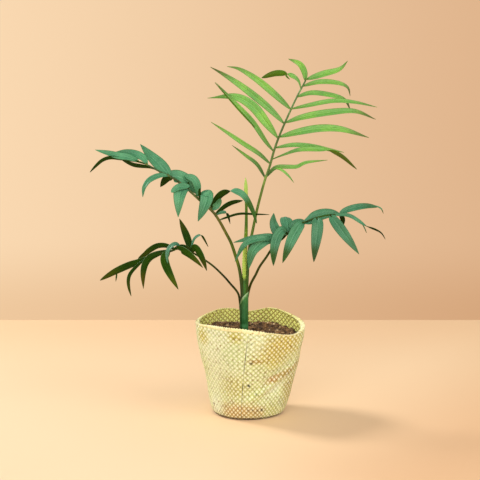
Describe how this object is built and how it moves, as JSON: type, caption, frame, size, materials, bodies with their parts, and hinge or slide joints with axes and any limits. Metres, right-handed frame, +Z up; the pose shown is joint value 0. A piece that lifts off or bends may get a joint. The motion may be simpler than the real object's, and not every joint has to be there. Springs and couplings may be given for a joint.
{
  "type": "potted parlor palm",
  "caption": "Young palm with arching fronds of lance-shaped leaflets, growing from soil in a soft tapered planter of plaited strips that stands on a flat base.",
  "frame": {"origin": "centre of the planter's flat underside", "axes": "+Z up out of the planter, -Y the side that the upright frond's blades face, +X the side of the frond that arches over alone"},
  "size_m": [0.3293, 0.1186, 0.4041],
  "materials": {
    "woven_palm_strip": "matte plaited strips, pale lime to gold",
    "potting_soil": "dry crumbs",
    "green_stem": "satin",
    "young_petiole": "satin",
    "spear_leaf": "satin",
    "young_leaf": "satin, fine veins along the blade",
    "mature_leaf": "satin, blue-green above and dark below",
    "shaded_leaf": "satin, dark green"
  },
  "bodies": {
    "root": {"high_left_frond_leaflet_back_1": "mature_leaf", "high_left_frond_leaflet_back_2": "mature_leaf", "high_left_frond_leaflet_back_3": "mature_leaf", "high_left_frond_leaflet_back_4": "mature_leaf", "high_left_frond_leaflet_back_5": "mature_leaf", "high_left_frond_leaflet_back_6": "mature_leaf", "high_left_frond_leaflet_back_7": "mature_leaf", "high_left_frond_leaflet_back_8": "mature_leaf", "high_left_frond_leaflet_front_1": "mature_leaf", "high_left_frond_leaflet_front_2": "mature_leaf", "high_left_frond_leaflet_front_3": "mature_leaf", "high_left_frond_leaflet_front_4": "mature_leaf", "high_left_frond_leaflet_terminal": "mature_leaf", "high_left_frond_rachis": "young_petiole", "low_left_frond_leaflet_back_1": "shaded_leaf", "low_left_frond_leaflet_back_2": "shaded_leaf", "low_left_frond_leaflet_front_1": "shaded_leaf", "low_left_frond_leaflet_front_2": "shaded_leaf", "low_left_frond_leaflet_front_3": "shaded_leaf", "low_left_frond_leaflet_front_4": "shaded_leaf", "low_left_frond_leaflet_front_5": "shaded_leaf", "low_left_frond_leaflet_front_6": "shaded_leaf", "low_left_frond_leaflet_terminal": "shaded_leaf", "low_left_frond_rachis": "young_petiole", "potting_soil": "potting_soil", "right_frond_leaflet_back_1": "mature_leaf", "right_frond_leaflet_back_2": "mature_leaf", "right_frond_leaflet_back_3": "mature_leaf", "right_frond_leaflet_back_4": "mature_leaf", "right_frond_leaflet_front_1": "mature_leaf", "right_frond_leaflet_front_2": "mature_leaf", "right_frond_leaflet_front_3": "mature_leaf", "right_frond_leaflet_front_4": "mature_leaf", "right_frond_leaflet_front_5": "mature_leaf", "right_frond_leaflet_front_6": "mature_leaf", "right_frond_leaflet_front_7": "mature_leaf", "right_frond_leaflet_front_8": "mature_leaf", "right_frond_leaflet_terminal": "mature_leaf", "right_frond_rachis": "young_petiole", "spear_leaf": "spear_leaf", "stem": "green_stem", "upright_frond_leaflet_left_1": "young_leaf", "upright_frond_leaflet_left_2": "young_leaf", "upright_frond_leaflet_left_3": "young_leaf", "upright_frond_leaflet_left_4": "young_leaf", "upright_frond_leaflet_left_5": "young_leaf", "upright_frond_leaflet_left_6": "young_leaf", "upright_frond_leaflet_left_7": "young_leaf", "upright_frond_leaflet_left_8": "young_leaf", "upright_frond_leaflet_right_1": "young_leaf", "upright_frond_leaflet_right_2": "young_leaf", "upright_frond_leaflet_right_3": "young_leaf", "upright_frond_leaflet_right_4": "young_leaf", "upright_frond_leaflet_right_5": "young_leaf", "upright_frond_leaflet_right_6": "young_leaf", "upright_frond_leaflet_right_7": "young_leaf", "upright_frond_leaflet_right_8": "young_leaf", "upright_frond_leaflet_right_9": "young_leaf", "upright_frond_rachis": "young_petiole", "woven_planter": "woven_palm_strip"}
  },
  "joints": []
}
